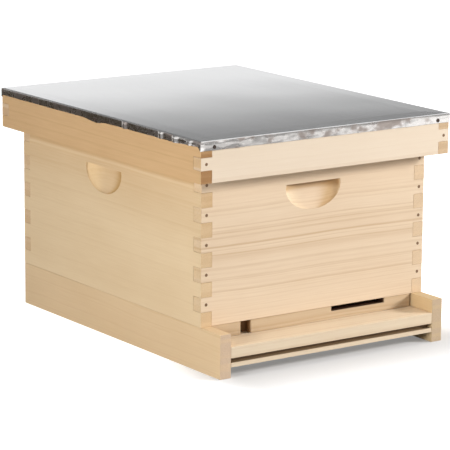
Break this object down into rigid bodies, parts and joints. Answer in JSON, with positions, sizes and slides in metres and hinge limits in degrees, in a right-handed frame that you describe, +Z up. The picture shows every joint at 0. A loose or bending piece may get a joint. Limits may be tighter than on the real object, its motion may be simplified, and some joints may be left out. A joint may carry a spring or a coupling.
{
  "type": "beehive",
  "caption": "Wooden box beehive: grooved bottom board with landing strip, finger-jointed body of hanging frames, inner cover and metal-topped telescoping lid.",
  "frame": {"origin": "ground level, under the middle of the hive's overall width and length", "axes": "+Z up, the way every lift-off piece leaves; +Y towards the hive's back, so the entrance and landing strip face -Y; +X to the right of someone who faces the entrance"},
  "size_m": [0.4594, 0.5876, 0.3501],
  "materials": {
    "pine_board": "bare planed pine",
    "frame_wood": "bare smooth pine",
    "plywood_panel": "bare plywood",
    "hardboard_panel": "pressed board",
    "sheet_metal": "bright rolled sheet with a soft sheen",
    "nail_steel": "dull",
    "wax_foundation": "waxy, embossed with cells"
  },
  "bodies": {
    "bottom_board": {"rail_left": "pine_board", "rail_right": "pine_board", "rear_cleat_upper": "pine_board", "rear_cleat_lower": "pine_board", "floor_board_1": "pine_board", "floor_board_2": "pine_board", "floor_board_3": "pine_board", "floor_board_4": "pine_board"},
    "reducer": {"entrance_reducer": "pine_board"},
    "hive_body": {"body_front": "pine_board", "body_back": "pine_board", "body_left": "pine_board", "body_right": "pine_board"},
    "inner_cover": {"inner_rim_front": "pine_board", "inner_rim_back": "pine_board", "inner_rim_left": "pine_board", "inner_rim_right": "pine_board", "inner_panel": "hardboard_panel"},
    "outer_cover": {"cover_rim_front": "pine_board", "cover_rim_back": "pine_board", "cover_rim_left": "pine_board", "cover_rim_right": "pine_board", "cover_panel": "plywood_panel", "cover_metal": "sheet_metal", "cover_nail_front_left": "nail_steel", "cover_nail_front_right": "nail_steel", "cover_nail_back_left": "nail_steel", "cover_nail_back_right": "nail_steel", "cover_nail_left": "nail_steel", "cover_nail_right": "nail_steel"},
    "frame_01": {"frame_01_top_bar": "frame_wood", "frame_01_sides": "frame_wood", "frame_01_foundation": "wax_foundation"},
    "frame_02": {"frame_02_top_bar": "frame_wood", "frame_02_sides": "frame_wood", "frame_02_foundation": "wax_foundation"},
    "frame_03": {"frame_03_top_bar": "frame_wood", "frame_03_sides": "frame_wood", "frame_03_foundation": "wax_foundation"},
    "frame_04": {"frame_04_top_bar": "frame_wood", "frame_04_sides": "frame_wood", "frame_04_foundation": "wax_foundation"},
    "frame_05": {"frame_05_top_bar": "frame_wood", "frame_05_sides": "frame_wood", "frame_05_foundation": "wax_foundation"},
    "frame_06": {"frame_06_top_bar": "frame_wood", "frame_06_sides": "frame_wood", "frame_06_foundation": "wax_foundation"},
    "frame_07": {"frame_07_top_bar": "frame_wood", "frame_07_sides": "frame_wood", "frame_07_foundation": "wax_foundation"},
    "frame_08": {"frame_08_top_bar": "frame_wood", "frame_08_sides": "frame_wood", "frame_08_foundation": "wax_foundation"},
    "frame_09": {"frame_09_top_bar": "frame_wood", "frame_09_sides": "frame_wood", "frame_09_foundation": "wax_foundation"},
    "frame_10": {"frame_10_top_bar": "frame_wood", "frame_10_sides": "frame_wood", "frame_10_foundation": "wax_foundation"}
  },
  "joints": [
    {"name": "hive_body_lift", "type": "slide", "parent": "bottom_board", "child": "hive_body", "axis": [0, 0, 1], "range_m": [0, 0.3]},
    {"name": "inner_cover_lift", "type": "slide", "parent": "hive_body", "child": "inner_cover", "axis": [0, 0, 1], "range_m": [0, 0.3]},
    {"name": "outer_cover_lift", "type": "slide", "parent": "inner_cover", "child": "outer_cover", "axis": [0, 0, 1], "range_m": [0, 0.25]},
    {"name": "frame_01_lift", "type": "slide", "parent": "hive_body", "child": "frame_01", "axis": [0, 0, 1], "range_m": [0, 0.27]},
    {"name": "frame_02_lift", "type": "slide", "parent": "hive_body", "child": "frame_02", "axis": [0, 0, 1], "range_m": [0, 0.27]},
    {"name": "frame_03_lift", "type": "slide", "parent": "hive_body", "child": "frame_03", "axis": [0, 0, 1], "range_m": [0, 0.27]},
    {"name": "frame_04_lift", "type": "slide", "parent": "hive_body", "child": "frame_04", "axis": [0, 0, 1], "range_m": [0, 0.27]},
    {"name": "frame_05_lift", "type": "slide", "parent": "hive_body", "child": "frame_05", "axis": [0, 0, 1], "range_m": [0, 0.27]},
    {"name": "frame_06_lift", "type": "slide", "parent": "hive_body", "child": "frame_06", "axis": [0, 0, 1], "range_m": [0, 0.27]},
    {"name": "frame_07_lift", "type": "slide", "parent": "hive_body", "child": "frame_07", "axis": [0, 0, 1], "range_m": [0, 0.27]},
    {"name": "frame_08_lift", "type": "slide", "parent": "hive_body", "child": "frame_08", "axis": [0, 0, 1], "range_m": [0, 0.27]},
    {"name": "frame_09_lift", "type": "slide", "parent": "hive_body", "child": "frame_09", "axis": [0, 0, 1], "range_m": [0, 0.27]},
    {"name": "frame_10_lift", "type": "slide", "parent": "hive_body", "child": "frame_10", "axis": [0, 0, 1], "range_m": [0, 0.27]},
    {"name": "reducer_slide", "type": "slide", "parent": "bottom_board", "child": "reducer", "axis": [0, -1, 0], "range_m": [0, 0.12]}
  ],
  "couplings": [
    {"joint": "frame_01_lift", "follows": "inner_cover_lift", "ratio": 0.9},
    {"joint": "frame_02_lift", "follows": "inner_cover_lift", "ratio": 0.9},
    {"joint": "frame_03_lift", "follows": "inner_cover_lift", "ratio": 0.9},
    {"joint": "frame_04_lift", "follows": "inner_cover_lift", "ratio": 0.9},
    {"joint": "frame_05_lift", "follows": "inner_cover_lift", "ratio": 0.9},
    {"joint": "frame_06_lift", "follows": "inner_cover_lift", "ratio": 0.9},
    {"joint": "frame_07_lift", "follows": "inner_cover_lift", "ratio": 0.9},
    {"joint": "frame_08_lift", "follows": "inner_cover_lift", "ratio": 0.9},
    {"joint": "frame_09_lift", "follows": "inner_cover_lift", "ratio": 0.9},
    {"joint": "frame_10_lift", "follows": "inner_cover_lift", "ratio": 0.9}
  ]
}
